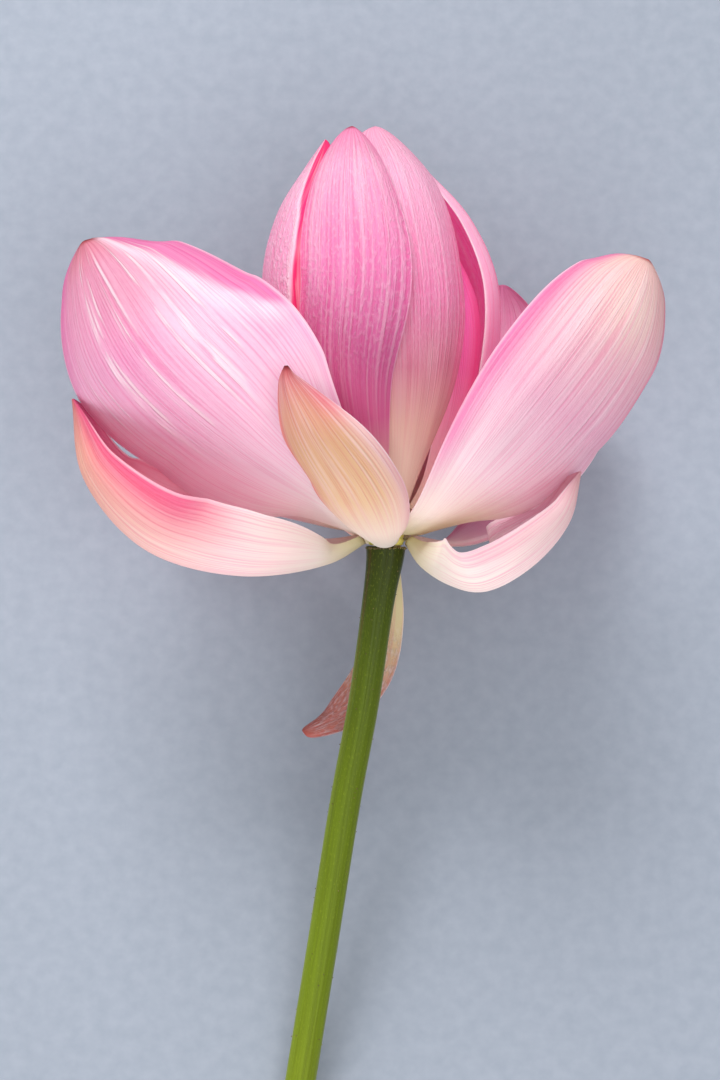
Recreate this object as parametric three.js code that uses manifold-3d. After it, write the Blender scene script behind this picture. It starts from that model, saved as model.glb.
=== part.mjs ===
// A cut lotus flower lying on its back petals, in millimetres, +Z up.
// The flower is described upright in its own frame first: the axis runs along +Y from the stem to the
// petal tips, +Z is the front and +X the right. Azimuth 0 is the front and 90 the right. The whole
// flower is then leaned back, so that two back petals and the stem's cut end touch the ground.
import * as THREE from 'three';
import { mergeVertices } from 'three/addons/utils/BufferGeometryUtils.js';
import Module from 'manifold-3d';

const wasm = await Module();
wasm.setup();

// ---- driving dimensions ----
const LEAN = 10.8;                    // degrees by which the flower's axis leaves the ground's plane
const AXIS_HEIGHT = 45.7;             // height of the flower's base above the ground
const EDGE_THICKNESS = 0.7;           // petal thickness at its margins
const BLADE_THICKNESS = 1.0;          // along the midrib
const FOOT_THICKNESS = 1.5;           // where the petal is seated
const FOOT_SHARE = 0.3;               // share of the length over which a petal turns from its seat
const PETAL_ROWS = 12;                // facets along a petal
const PETAL_COLUMNS = 8;              // facets across a petal

const SEAT_RADIUS = 5.6;              // of the lowest ring of petal scars
const SEAT_GROWTH = 0.35;             // radius gained from one ring to the next
const SEAT_STEP = 1.9;                // height gained from one ring to the next
const TOP_RING = 5;

const STEM_RADIUS = 4.1;
const NECK_RADIUS = 5.2;              // swollen stem top under the receptacle
const NECK_LENGTH = 9;                // over which the swelling fades
const STEM_SIDES = 14;
const STEM_RINGS = 22;
const CANAL_DEPTH = 7;                // air canals seen in the cut end
const CANAL_SIDES = 6;

const DISC_RADIUS = 9.2;              // flat top of the seed receptacle
const DISC_HEIGHT = 30;
const STAMEN_COUNT = 42;
const SEED = 20731;

const radians = THREE.MathUtils.degToRad;
const vector = (x, y, z) => new THREE.Vector3(x, y, z);

// ---- frames ----
// Unit vector at an azimuth round the flower's axis.
const outward = (azimuth) => vector(Math.sin(radians(azimuth)), 0, Math.cos(radians(azimuth)));
const around = (azimuth, radius, height) => outward(azimuth).multiplyScalar(radius).setY(height);

const GROUND_NORMAL = vector(0, Math.sin(radians(LEAN)), Math.cos(radians(LEAN)));
const heightAboveGround = (point) => point.dot(GROUND_NORMAL) + AXIS_HEIGHT;

// Pushes a point up to a clearance over the ground, which leaves the small flats the flower rests on.
function settle(point, clearance) {
  const lack = clearance - heightAboveGround(point);
  if (lack > 0) point.addScaledVector(GROUND_NORMAL, lack);
  return point;
}

// ---- petals ----
const seat = (azimuth, ring) =>
  around(azimuth, SEAT_RADIUS + SEAT_GROWTH * ring, 0.2 + SEAT_STEP * ring);

// Midrib of a petal that spreads away from the bud: [radius, height] pairs at one azimuth.
const spreadRib = (azimuth, ring, stations) =>
  [seat(azimuth, ring), ...stations.map(([radius, height]) => around(azimuth, radius, height))];

// Midrib of a petal of the closed bud. depth is how far its layer lies inside the outermost one.
function budRib(azimuth, ring, depth, top, flare = 0) {
  const scale = top / 107;
  const stations = [
    [19 - 1.05 * depth, 20], [29 - depth, 45], [32 - depth, 70],
    [26.5 - depth, 88], [17.5 - 0.8 * depth, 100], [11 - 0.5 * depth + flare, 107],
  ];
  const leanedLeft = (point) => point.setX(point.x - 0.0006 * point.y ** 2);
  return [seat(azimuth, ring),
    ...stations.map(([radius, height]) => leanedLeft(around(azimuth, radius, height * scale)))];
}

const ribThrough = (azimuth, ring, ...points) =>
  [seat(azimuth, ring), ...points.map(([x, y, z]) => vector(x, y, z))];

// half: greatest half width along the surface; facing: azimuth that the outer face looks to;
// cup: degrees that the margin is turned in at the foot, the middle and the tip;
// widest, blunt and side may differ for the left and right half.
const PETALS = {
  outer_petal_left: {
    rib: ribThrough(-58, 1.55, [-14.7, 10.8, 17], [-37, 26, 26], [-61, 47.5, 30], [-74.5, 70, 28],
      [-78, 78.5, 26]),
    facing: -16, half: 35, foot: 0.12, cup: [-17, 50, 55], widest: [0.5, 0.58], blunt: [0.72, 0.42],
    side: [1, 1.07], colour: 0xea8fc4,
  },
  outer_petal_right: {
    rib: ribThrough(48, 1.8, [16.5, 10, 14], [36.5, 29, 23], [55.5, 52.5, 27], [64.5, 67, 25],
      [67.5, 74, 23]),
    facing: 22, half: 26, foot: 0.17, cup: [-10, 48, 50], widest: [0.6, 0.54], blunt: [0.42, 0.62],
    side: [0.82, 1.27], colour: 0xf0bdd4,
  },
  lower_petal_left: {
    rib: ribThrough(-84, 0.6, [-15, -4, 0], [-38.5, -7, 8], [-63, 0, 13], [-78.5, 18, 13],
      [-82, 38.5, 10]),
    facing: -87, roll: 9, half: 31, foot: 0.13, cup: [55, 92, 75], widest: [0.4, 0.42], blunt: [0.78, 1],
    side: [1.04, 1.06], colour: 0xf2a0a8,
  },
  lower_petal_right: {
    rib: ribThrough(92, 0.3, [9.5, -5, 2.2], [17, -9.6, 4.8], [26, -11, 8.2], [38, -4.6, 11],
      [47.5, 6.5, 10], [51, 19.5, 6]),
    facing: 87, roll: -12, half: 21, foot: 0.16, cup: [66, 78, 70], widest: [0.34, 0.45],
    side: [1, 1], blunt: [1.1, 0.6], colour: 0xf6cdd0,
  },
  front_sepal: {
    rib: ribThrough(-4, 0, [-2.5, 3, 19], [-9, 14.5, 36], [-18.5, 29, 46], [-25, 42, 48],
      [-25.5, 45.5, 48]),
    facing: -8, half: 15.5, foot: 0.25, cup: [50, 60, 60], widest: 0.42, blunt: 0.95, side: [1, 0.84],
    colour: 0xeab287,
  },
  hanging_sepal: {
    rib: ribThrough(165, 0.05, [0.4, -3.6, -10], [-1.2, -20, -13], [-4.2, -34, -14],
      [-12.5, -44.5, -14], [-22, -50, -12]),
    facing: 160, half: 6, foot: 0.38, cup: [30, 40, 40], widest: 0.5, blunt: 0.4, colour: 0xd9b48a,
  },
  back_sepal: {
    rib: spreadRib(184, 1.15, [[18, 0.5], [32, 6], [42, 18], [45, 28]]),
    facing: 182, half: 13, foot: 0.25, cup: [50, 40, 50], widest: 0.5, colour: 0xe8c9a0,
  },
  side_back_petal_left: {
    rib: spreadRib(-119, 2, [[20, 6], [48, 14], [66, 34], [73, 52], [72, 60]]),
    facing: -112, half: 21, foot: 0.11, cup: [42, 48, 55], widest: 0.6, colour: 0xf3c6da,
  },
  side_back_petal_right: {
    rib: spreadRib(122, 1.2, [[22, 1], [46, 10.2], [62, 31], [68, 46], [67, 54]]),
    facing: 117, half: 20, foot: 0.13, cup: [-38, 50, 55], widest: 0.5, colour: 0xf3c6da,
  },
  back_petal_left: {
    rib: spreadRib(-160, 2.7, [[18, 12.5], [41, 33], [56, 53], [62, 70], [61, 79]]),
    facing: -152, half: 26, foot: 0.12, cup: [50, 45, 50], widest: 0.6, colour: 0xf3c6da,
  },
  back_petal_right: {
    rib: spreadRib(150.5, 2.28, [[22, 8.5], [46, 26], [60.2, 47], [66.4, 64], [67.2, 73]]),
    facing: 155, half: 25, foot: 0.11, cup: [50, 45, 50], widest: 0.6, colour: 0xf3c6da,
  },
  centre_petal_left: {
    rib: ribThrough(-6, 3.15, [-4, 14.5, 15.5], [-10.5, 43, 27], [-9, 71, 31], [-9.5, 96, 20],
      [-9, 109.5, 12]),
    facing: -12, half: 15.4, foot: 0.14, cup: [45, 36, 45], widest: 0.62, blunt: 0.68, colour: 0xdf6fae,
  },
  centre_petal_right: {
    rib: ribThrough(26, 4.3, [4, 14.5, 12.5], [7.5, 43, 23], [7, 71, 26], [2, 97.5, 15], [-3, 110, 7]),
    facing: 20, half: 23.5, foot: 0.1, cup: [45, 34, 50], widest: 0.58, blunt: [0.48, 0.48],
    side: [0.84, 0.7], colour: 0xf59ac8,
  },
  inner_petal_left: {
    rib: budRib(-72, 3, 3.2, 107),
    facing: -68, half: 21, foot: 0.14, cup: [45, 42, 50], widest: 0.6, colour: 0xf4b4d6,
  },
  inner_petal_right: {
    rib: budRib(88, 3.4, 0, 102),
    facing: 94, half: 18, foot: 0.14, cup: [45, 38, 50], widest: [0.5, 0.6], blunt: [1.5, 0.75],
    side: [0.76, 1], colour: 0xfa8ac0,
  },
  inner_petal_back_left: {
    rib: budRib(-130, 4.25, 5.2, 98, 6),
    facing: -130, half: 20.5, foot: 0.12, cup: [45, 48, 50], widest: 0.6, colour: 0xf4b4d6,
  },
  inner_petal_back_right: {
    rib: budRib(141, 3.8, 4.4, 96),
    facing: 141, half: 19, foot: 0.13, cup: [45, 46, 50], widest: 0.6, side: [0.72, 1], colour: 0xf4b4d6,
  },
  core_petal_left: {
    rib: budRib(-34, 5, 8, 103),
    facing: -40, half: 17, foot: 0.11, cup: [45, 48, 50], widest: 0.6, colour: 0xec3f94,
  },
  core_petal_right: {
    rib: budRib(78, 5, 5.3, 95),
    facing: 78, half: 18.6, foot: 0.12, cup: [50, 62, 55], widest: 0.6, side: [1, 0.5], colour: 0xf0569f,
  },
  core_petal_back: {
    rib: budRib(187, 4.8, 9.3, 94),
    facing: 187, half: 15.5, foot: 0.12, cup: [45, 48, 50], widest: 0.6, colour: 0xf08ab8,
  },
};

const bothSides = (value) => (Array.isArray(value) ? value : [value, value]);

// Share of the greatest half width at u: a narrow foot, a swelling to `widest`, a rounded or pointed end.
function widthShare(u, widest, foot, blunt) {
  if (u < widest) return foot + (1 - foot) * Math.sin((Math.PI / 2) * (u / widest)) ** 1.3;
  const rest = (u - widest) / (1 - widest);
  return Math.max(0, 1 - rest ** 2.2) ** blunt;
}

function threePoint([foot, middle, tip], u) {
  return u < 0.5 ? foot + (middle - foot) * u * 2 : middle + (tip - middle) * (u - 0.5) * 2;
}

// The petal's middle surface as a function of u (foot to tip) and v (-1 left margin to 1 right margin).
function petalSurface(petal) {
  const curve = new THREE.CatmullRomCurve3(petal.rib, false, 'centripetal');
  curve.arcLengthDivisions = 400;
  const widest = bothSides(petal.widest ?? 0.55);
  const blunt = bothSides(petal.blunt ?? 0.75);
  const side = bothSides(petal.side ?? 1);
  const clampUnit = (value) => Math.min(1, Math.max(0, value));
  const footFacing = THREE.MathUtils.radToDeg(Math.atan2(petal.rib[0].x, petal.rib[0].z));
  const footTurn = ((footFacing - petal.facing + 540) % 360) - 180;

  return (u, v) => {
    const rib = curve.getPointAt(u);
    const along = curve.getPointAt(clampUnit(u + 0.012))
      .sub(curve.getPointAt(clampUnit(u - 0.012)))
      .normalize();
    const azimuth = radians(petal.facing + footTurn * Math.max(0, 1 - u / FOOT_SHARE) ** 2);
    const level = vector(Math.cos(azimuth), 0, -Math.sin(azimuth));
    const across = level.clone().addScaledVector(along, -level.dot(along)).normalize();
    const out = across.clone().cross(along);
    const roll = radians(petal.roll ?? 0) * Math.sin((Math.PI / 2) * Math.min(1, u * 2));
    const rolledAcross = across.clone().multiplyScalar(Math.cos(roll)).addScaledVector(out, Math.sin(roll));
    const rolledOut = out.multiplyScalar(Math.cos(roll)).addScaledVector(across, -Math.sin(roll));

    const half = v < 0 ? 0 : 1;
    const swell = 1 + (side[half] - 1) * Math.sqrt(Math.max(0, Math.sin(Math.PI * u)));
    const width = (petal.half * widthShare(u, widest[half], petal.foot, blunt[half]) + 0.35) * swell;
    const bend = radians(threePoint(petal.cup, u));
    const angle = bend * Math.abs(v);
    const point = rib
      .addScaledVector(rolledAcross, Math.sign(v) * width * Math.sin(angle) / bend)
      .addScaledVector(rolledOut, -width * (1 - Math.cos(angle)) / bend);
    const normal = rolledOut.multiplyScalar(Math.cos(angle))
      .addScaledVector(rolledAcross, Math.sign(v) * Math.sin(angle));
    return { point, normal };
  };
}

// A closed body from two equal grids of points, outer and inner, both split along the same diagonals.
function shellGeometry(outer, inner) {
  const rows = outer.length;
  const columns = outer[0].length;
  const positions = [...outer.flat(), ...inner.flat()].flatMap((p) => [p.x, p.y, p.z]);
  const offset = rows * columns;
  const at = (row, column) => row * columns + column;
  const index = [];
  for (let row = 0; row < rows - 1; row += 1) {
    for (let column = 0; column < columns - 1; column += 1) {
      const [a, b] = [at(row, column), at(row, column + 1)];
      const [c, d] = [at(row + 1, column + 1), at(row + 1, column)];
      index.push(a, b, c, a, c, d);
      index.push(offset + a, offset + c, offset + b, offset + a, offset + d, offset + c);
    }
  }
  const edge = [];
  for (let column = 0; column < columns; column += 1) edge.push(at(0, column));
  for (let row = 1; row < rows; row += 1) edge.push(at(row, columns - 1));
  for (let column = columns - 2; column >= 0; column -= 1) edge.push(at(rows - 1, column));
  for (let row = rows - 2; row > 0; row -= 1) edge.push(at(row, 0));
  edge.forEach((a, step) => {
    const b = edge[(step + 1) % edge.length];
    index.push(a, offset + a, b, b, offset + a, offset + b);
  });
  const geometry = new THREE.BufferGeometry();
  geometry.setAttribute('position', new THREE.Float32BufferAttribute(positions, 3));
  geometry.setIndex(index);
  return geometry;
}

function petalGeometry(petal) {
  const surface = petalSurface(petal);
  const outer = [];
  const inner = [];
  const reach = 0.9 * (Math.PI / 2);
  for (let row = 0; row <= PETAL_ROWS; row += 1) {
    const u = row / PETAL_ROWS;
    const ribThickness = BLADE_THICKNESS + (FOOT_THICKNESS - BLADE_THICKNESS) * (1 - u) ** 3;
    outer.push([]);
    inner.push([]);
    for (let column = 0; column <= PETAL_COLUMNS; column += 1) {
      const v = Math.sin((2 * column / PETAL_COLUMNS - 1) * reach) / Math.sin(reach);
      const { point, normal } = surface(u, v);
      const thickness = EDGE_THICKNESS + (ribThickness - EDGE_THICKNESS) * (1 - v * v);
      outer[row].push(settle(point.clone().addScaledVector(normal, thickness / 2), 0));
      inner[row].push(settle(point.clone().addScaledVector(normal, -thickness / 2), thickness));
    }
  }
  return shellGeometry(outer, inner);
}

// ---- solids joined and cut ----
function solidOf(geometry) {
  const bare = geometry.clone();
  bare.deleteAttribute('normal');
  bare.deleteAttribute('uv');
  const merged = mergeVertices(bare, 1e-4);
  return new wasm.Manifold(new wasm.Mesh({
    numProp: 3,
    vertProperties: new Float32Array(merged.attributes.position.array),
    triVerts: new Uint32Array(merged.index.array),
  }));
}

function geometryOf(solid) {
  const mesh = solid.getMesh();
  const geometry = new THREE.BufferGeometry();
  geometry.setAttribute('position', new THREE.BufferAttribute(new Float32Array(mesh.vertProperties), 3));
  geometry.setIndex([...mesh.triVerts]);
  return geometry;
}

// A closed tube through rings of points given by centre, tangent and radius.
function tubeGeometry(centres, radii, sides, phase = 0) {
  const positions = [];
  const index = [];
  const reference = vector(0, 0, 1);
  centres.forEach((centre, ring) => {
    const before = centres[Math.max(0, ring - 1)];
    const after = centres[Math.min(centres.length - 1, ring + 1)];
    const tangent = after.clone().sub(before).normalize();
    const first = reference.clone().addScaledVector(tangent, -reference.dot(tangent));
    if (first.lengthSq() < 1e-6) first.set(1, 0, 0);
    first.normalize();
    const second = tangent.clone().cross(first);
    for (let side = 0; side < sides; side += 1) {
      const angle = phase + (2 * Math.PI * side) / sides;
      const point = centre.clone()
        .addScaledVector(first, radii[ring] * Math.cos(angle))
        .addScaledVector(second, radii[ring] * Math.sin(angle));
      positions.push(point);
    }
  });
  const last = (centres.length - 1) * sides;
  for (let ring = 0; ring < centres.length - 1; ring += 1) {
    for (let side = 0; side < sides; side += 1) {
      const [a, b] = [ring * sides + side, ring * sides + (side + 1) % sides];
      index.push(a, b, b + sides, a, b + sides, a + sides);
    }
  }
  for (let side = 1; side < sides - 1; side += 1) {
    index.push(0, side + 1, side);
    index.push(last, last + side, last + side + 1);
  }
  const geometry = new THREE.BufferGeometry();
  const numbers = positions.flatMap((p) => [p.x, p.y, p.z]);
  geometry.setAttribute('position', new THREE.Float32BufferAttribute(numbers, 3));
  geometry.setIndex(index);
  return geometry;
}

// ---- stem ----
// Centre line from just under the receptacle to the cut end, bowed back a little and to the left.
const STEM_LINE = new THREE.CatmullRomCurve3([
  vector(0, -0.25, 0), vector(-0.2, -3, 0), vector(-1.9, -14, -0.6), vector(-5.8, -41, -2.4),
  vector(-10.6, -67, -5), vector(-16.5, -104, -8.8), vector(-22.5, -141, -12), vector(-26.5, -166, -13.6),
], false, 'centripetal');

function stemGeometry() {
  const centres = [];
  const radii = [];
  for (let ring = 0; ring <= STEM_RINGS; ring += 1) {
    const share = (ring / STEM_RINGS) ** 1.4;
    const centre = STEM_LINE.getPointAt(share);
    const below = (share * STEM_LINE.getLength()) / NECK_LENGTH;
    const fade = Math.exp(-(below ** 1.3));
    centres.push(centre);
    radii.push(STEM_RADIUS + (NECK_RADIUS - STEM_RADIUS) * fade);
  }
  const tube = tubeGeometry(centres, radii, STEM_SIDES);
  const position = tube.attributes.position;
  for (let i = 0; i < position.count; i += 1) {
    const point = settle(new THREE.Vector3().fromBufferAttribute(position, i), 0);
    position.setXYZ(i, point.x, point.y, point.z);
  }
  return cutCanals(solidOf(tube));
}

// Air canals open at the cut end: two wide ones in the middle, smaller ones round them.
function cutCanals(stem) {
  const end = STEM_LINE.getPointAt(1);
  const inward = STEM_LINE.getPointAt(0.97).sub(end).normalize();
  const first = vector(0, 0, 1).addScaledVector(inward, -inward.z).normalize();
  const second = inward.clone().cross(first);
  const canals = [[0, 0.9, 0.75], [Math.PI, 0.9, 0.75]];
  for (let i = 0; i < 6; i += 1) canals.push([((i + 0.5) / 6) * 2 * Math.PI, 2.45, 0.48]);
  let result = stem;
  for (const [angle, distance, radius] of canals) {
    const centre = end.clone()
      .addScaledVector(second, distance * Math.cos(angle))
      .addScaledVector(first, distance * Math.sin(angle));
    const mouth = centre.clone().addScaledVector(inward, -1);
    const bottom = centre.clone().addScaledVector(inward, CANAL_DEPTH);
    result = result.subtract(solidOf(tubeGeometry([mouth, bottom], [radius, radius], CANAL_SIDES)));
  }
  return geometryOf(result);
}

// ---- receptacle ----
// Petal scars below, a slim waist for the stamens, and the flat-topped cone that holds the carpels.
function receptacleGeometry() {
  const scarRadius = (ring) => SEAT_RADIUS + SEAT_GROWTH * ring - 1.15;
  const topOfScars = 0.2 + SEAT_STEP * TOP_RING;
  const outline = [
    [0, 0.2], [scarRadius(0), 0.2], [scarRadius(TOP_RING), topOfScars], [4.9, topOfScars + 1.6],
    [4.9, topOfScars + 4], [5.6, 20], [7.8, 26], [DISC_RADIUS, DISC_HEIGHT - 1.2],
    [DISC_RADIUS - 0.6, DISC_HEIGHT], [0, DISC_HEIGHT + 0.3],
  ].map(([radius, height]) => new THREE.Vector2(radius, height));
  let solid = solidOf(new THREE.LatheGeometry(outline, 16));
  const carpels = [[0, 0], ...ringOf(5, 3.6), ...ringOf(9, 7)];
  for (const [x, z] of carpels) {
    const bump = new THREE.SphereGeometry(1.15, 6, 4);
    bump.translate(x, DISC_HEIGHT + 0.35, z);
    solid = solid.add(solidOf(bump));
  }
  return geometryOf(solid);
}

function ringOf(count, radius) {
  return Array.from({ length: count }, (_, i) => {
    const angle = (2 * Math.PI * (i + 0.25)) / count;
    return [radius * Math.sin(angle), radius * Math.cos(angle)];
  });
}

// ---- stamens ----
// Filaments rooted in a collar round the receptacle's waist, each ending in a long anther.
function randomFrom(seed) {
  let state = seed;
  return () => {
    state = (state * 1664525 + 1013904223) % 4294967296;
    return state / 4294967296;
  };
}

function stamensGeometry() {
  const random = randomFrom(SEED);
  const collarHeight = 0.2 + SEAT_STEP * TOP_RING + 1.7;
  const collar = [[5.2, 0], [6.3, 0.2], [6.3, 1.6], [5.2, 2]]
    .map(([radius, height]) => new THREE.Vector2(radius, collarHeight + height));
  collar.push(collar[0].clone());
  const parts = [solidOf(new THREE.LatheGeometry(collar, 20))];
  for (let i = 0; i < STAMEN_COUNT; i += 1) {
    const azimuth = (360 / STAMEN_COUNT) * (i + 0.4 * (random() - 0.5));
    const row = i % 2;
    const tall = 27 + 3 * random() + 1.5 * row;
    const spread = 9.8 + 0.8 * row + 0.4 * random();
    const stations = [
      [5.9, collarHeight + 0.8], [6.8 + 0.35 * row, 18.2], [spread - 1.3, tall - 5],
      [spread, tall - 2.2], [spread + 0.5, tall + 2.6],
    ];
    const centres = stations.map(([radius, height]) => around(azimuth, radius, height));
    parts.push(solidOf(tubeGeometry(centres, [0.42, 0.36, 0.36, 0.6, 0.34], 3, random() * 2)));
  }
  return geometryOf(wasm.Manifold.union(parts));
}

// ---- assembly ----
function piece(name, geometry, colour, roughness = 0.6) {
  geometry.computeVertexNormals();
  const mesh = new THREE.Mesh(geometry, new THREE.MeshStandardMaterial({ color: colour, roughness }));
  mesh.name = name;
  return mesh;
}

const flower = new THREE.Group();
flower.rotation.x = radians(LEAN);
flower.position.z = AXIS_HEIGHT;
flower.add(piece('stem', stemGeometry(), 0x6f8f28));
flower.add(piece('receptacle', receptacleGeometry(), 0xd8cf6a, 0.7));
flower.add(piece('stamens', stamensGeometry(), 0xf0d978, 0.8));
for (const [name, petal] of Object.entries(PETALS)) {
  flower.add(piece(name, petalGeometry(petal), petal.colour));
}

// The footprint's middle lies under the origin and the lowest point on Z = 0.
const part = new THREE.Group();
part.add(flower);
part.updateMatrixWorld(true);
const extent = new THREE.Box3().setFromObject(part, true);
const middle = extent.getCenter(new THREE.Vector3());
part.position.set(-middle.x, -middle.y, -extent.min.z);

export default part;
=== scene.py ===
"""A half-open lotus flower lying on its back petals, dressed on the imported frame.

The flower is described upright in its own frame, in millimetres: +Y runs from the stem to the petal
tips, +Z is the front, +X the right, and azimuth 0 is the front. `to_row` leans it back and turns the
millimetres into the frame's metres. On a petal, u runs from foot to tip and v from the left to the
right margin, seen from outside.
"""
import math
import random

import bpy
import numpy as np
from mathutils import Matrix, Vector


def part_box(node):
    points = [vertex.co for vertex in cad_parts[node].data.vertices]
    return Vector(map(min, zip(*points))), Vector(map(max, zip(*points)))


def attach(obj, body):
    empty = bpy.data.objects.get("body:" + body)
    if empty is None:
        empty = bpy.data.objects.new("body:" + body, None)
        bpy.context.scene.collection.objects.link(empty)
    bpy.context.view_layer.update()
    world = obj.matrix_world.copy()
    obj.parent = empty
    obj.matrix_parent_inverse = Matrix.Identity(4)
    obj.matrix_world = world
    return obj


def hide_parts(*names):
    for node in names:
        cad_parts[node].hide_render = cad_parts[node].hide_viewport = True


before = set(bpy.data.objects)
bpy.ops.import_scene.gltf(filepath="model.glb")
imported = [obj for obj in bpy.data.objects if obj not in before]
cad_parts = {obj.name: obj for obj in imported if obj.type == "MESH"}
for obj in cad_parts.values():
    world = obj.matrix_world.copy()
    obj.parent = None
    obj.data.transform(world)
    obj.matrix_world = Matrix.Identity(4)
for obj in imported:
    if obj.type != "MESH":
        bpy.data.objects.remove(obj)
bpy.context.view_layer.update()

# ---- the flower's build, as in the solids (mm and degrees) ----
LEAN = 10.8
AXIS_HEIGHT = 45.7
FOOT_SHARE = 0.3
LEAST_HALF_WIDTH = 0.35
BUD_TOP = 107
BUD_LEAN = 0.0006
GROUND_SOFTNESS = 0.5
SEAT_LIFT = 0.2
SEAT_RADIUS = 5.6
SEAT_GROWTH = 0.35
SEAT_STEP = 1.9
SCAR_INSET = 1.15
TOP_RING = 5
STEM_RADIUS = 4.1
NECK_RADIUS = 5.2
NECK_LENGTH = 9
CANAL_DEPTH, CANAL_SIDES = 7, 20
DISC_RADIUS = 9.2
DISC_HEIGHT = 30
CARPEL_RINGS = ((5, 3.6), (9, 7))        # how many, and how far out, round the middle one

# ---- finish of the visual pieces ----
EDGE_THICKNESS = 0.26
BLADE_THICKNESS = 0.8
FOOT_THICKNESS = 1.5
PLEATS, PLEAT_HEIGHT = 5, 0.16           # long soft folds of each petal
WAVE_HEIGHT = 0.5                        # of the petals' margins
ANY_PHASE = 6.3                          # a full turn for a wave's random start, in radians
FINE_ROWS, FINE_COLUMNS = 120, 88        # petals in plain view
PLAIN_ROWS, PLAIN_COLUMNS = 84, 56       # petals at the back and in the bud
MM_PER_CM = 10
INSIDE_SHIFT = 7.3                       # cm in the pattern, so that the two skins' veins differ
STAMENS = 230
PRICKLES = 85
PRICKLE_CLEARANCE = 1                    # mm above the ground below which none is set
SCAR_SPIKES = 46
SEED = 20731


def outward(azimuth):
    """Unit vector at an azimuth round the flower's axis."""
    return np.array([math.sin(math.radians(azimuth)), 0.0, math.cos(math.radians(azimuth))])


def around(azimuth, radius, height):
    return outward(azimuth) * radius + np.array([0.0, height, 0.0])


def seat(azimuth, ring):
    return around(azimuth, SEAT_RADIUS + SEAT_GROWTH * ring, SEAT_LIFT + SEAT_STEP * ring)


def rib_through(azimuth, ring, *points):
    return [seat(azimuth, ring), *[np.array(p, float) for p in points]]


def spread_rib(azimuth, ring, *stations):
    """Midrib of a petal that spreads away from the bud: (radius, height) pairs at one azimuth."""
    return [seat(azimuth, ring), *[around(azimuth, radius, height) for radius, height in stations]]


def bud_rib(azimuth, ring, depth, top, flare=0):
    """Midrib of a petal of the closed bud, whose layer lies `depth` inside the outermost one."""
    scale = top / BUD_TOP
    stations = [
        (19 - 1.05 * depth, 20), (29 - depth, 45), (32 - depth, 70),
        (26.5 - depth, 88), (17.5 - 0.8 * depth, 100), (11 - 0.5 * depth + flare, BUD_TOP),
    ]
    points = [around(azimuth, radius, height * scale) for radius, height in stations]
    for point in points:
        point[0] -= BUD_LEAN * point[1] ** 2
    return [seat(azimuth, ring), *points]


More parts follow.
